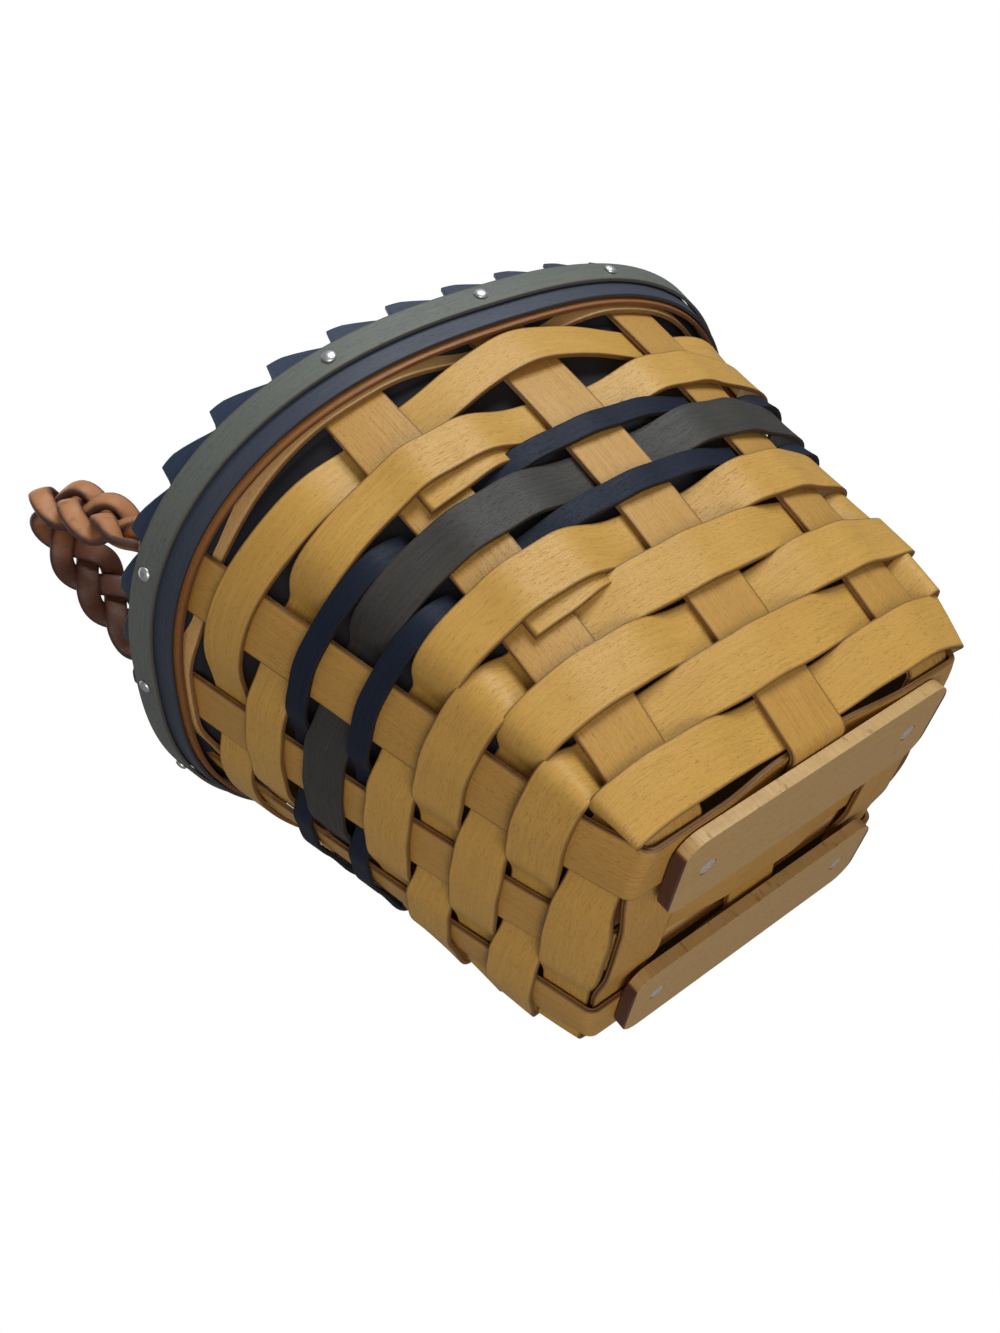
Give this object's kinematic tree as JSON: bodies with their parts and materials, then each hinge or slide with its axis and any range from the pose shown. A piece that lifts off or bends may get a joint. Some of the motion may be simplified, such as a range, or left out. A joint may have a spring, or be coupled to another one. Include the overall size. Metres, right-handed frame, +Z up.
{
  "type": "splint basket",
  "caption": "Oblong woven wood-splint basket flaring from a square base on runners to an oval tacked rim with scalloped trim and braided leather end hangers.",
  "frame": {"origin": "on the floor under the middle of the base, the runners' undersides at z = 0", "axes": "+Z up, +X along the basket's length towards its right end, -Y towards its front"},
  "size_m": [0.1594, 0.1322, 0.1539],
  "materials": {
    "natural_splint": "oiled natural splint, satin",
    "brown_splint": "stained brown splint, satin",
    "blue_splint": "blue-dyed splint, satin",
    "green_splint": "grey-green dyed splint, satin",
    "leather": "tan leather, satin",
    "steel": "bright steel tacks and nails"
  },
  "bodies": {
    "basket": {"cross_stake_left": "natural_splint", "cross_stake_middle": "natural_splint", "cross_stake_right": "natural_splint", "long_stake_front": "natural_splint", "long_stake_middle": "natural_splint", "long_stake_back": "natural_splint", "base_filler_front": "natural_splint", "base_filler_back": "natural_splint", "weaver_01_natural": "natural_splint", "weaver_02_natural": "natural_splint", "weaver_03_natural": "natural_splint", "weaver_04_natural": "natural_splint", "weaver_05_natural": "natural_splint", "weaver_06_blue": "blue_splint", "weaver_07_green": "green_splint", "weaver_08_blue": "blue_splint", "weaver_09_natural": "natural_splint", "weaver_10_natural": "natural_splint", "weaver_11_natural": "natural_splint", "rim_hoop_outer": "brown_splint", "rim_band_blue": "blue_splint", "rim_band_green": "green_splint", "rim_trim_scalloped": "blue_splint", "rim_hoop_inner": "natural_splint", "rim_tack_01": "steel", "rim_tack_02": "steel", "rim_tack_03": "steel", "rim_tack_04": "steel", "rim_tack_05": "steel", "rim_tack_06": "steel", "rim_tack_07": "steel", "rim_tack_08": "steel", "rim_tack_09": "steel", "rim_tack_10": "steel", "rim_tack_11": "steel", "rim_tack_12": "steel", "runner_front": "natural_splint", "runner_nail_front_left": "steel", "runner_nail_front_right": "steel", "runner_back": "natural_splint", "runner_nail_back_left": "steel", "runner_nail_back_right": "steel", "hanger_left_tab_front": "leather", "hanger_left_tab_back": "leather", "hanger_right_tab_front": "leather", "hanger_right_tab_back": "leather", "hanger_left_rivet_front": "steel", "hanger_left_rivet_back": "steel", "hanger_right_rivet_front": "steel", "hanger_right_rivet_back": "steel"},
    "left_hanger": {"hanger_left_strand_1": "leather", "hanger_left_strand_2": "leather", "hanger_left_strand_3": "leather"},
    "right_hanger": {"hanger_right_strand_1": "leather", "hanger_right_strand_2": "leather", "hanger_right_strand_3": "leather"}
  },
  "joints": [
    {"name": "left_hanger_hinge", "type": "hinge", "parent": "basket", "child": "left_hanger", "pos_m": [-0.06692, 0, 0.10669], "axis": [0, -1, 0], "range_deg": [-75, 10]},
    {"name": "right_hanger_hinge", "type": "hinge", "parent": "basket", "child": "right_hanger", "pos_m": [0.06692, 0, 0.10669], "axis": [0, 1, 0], "range_deg": [-75, 10]}
  ]
}
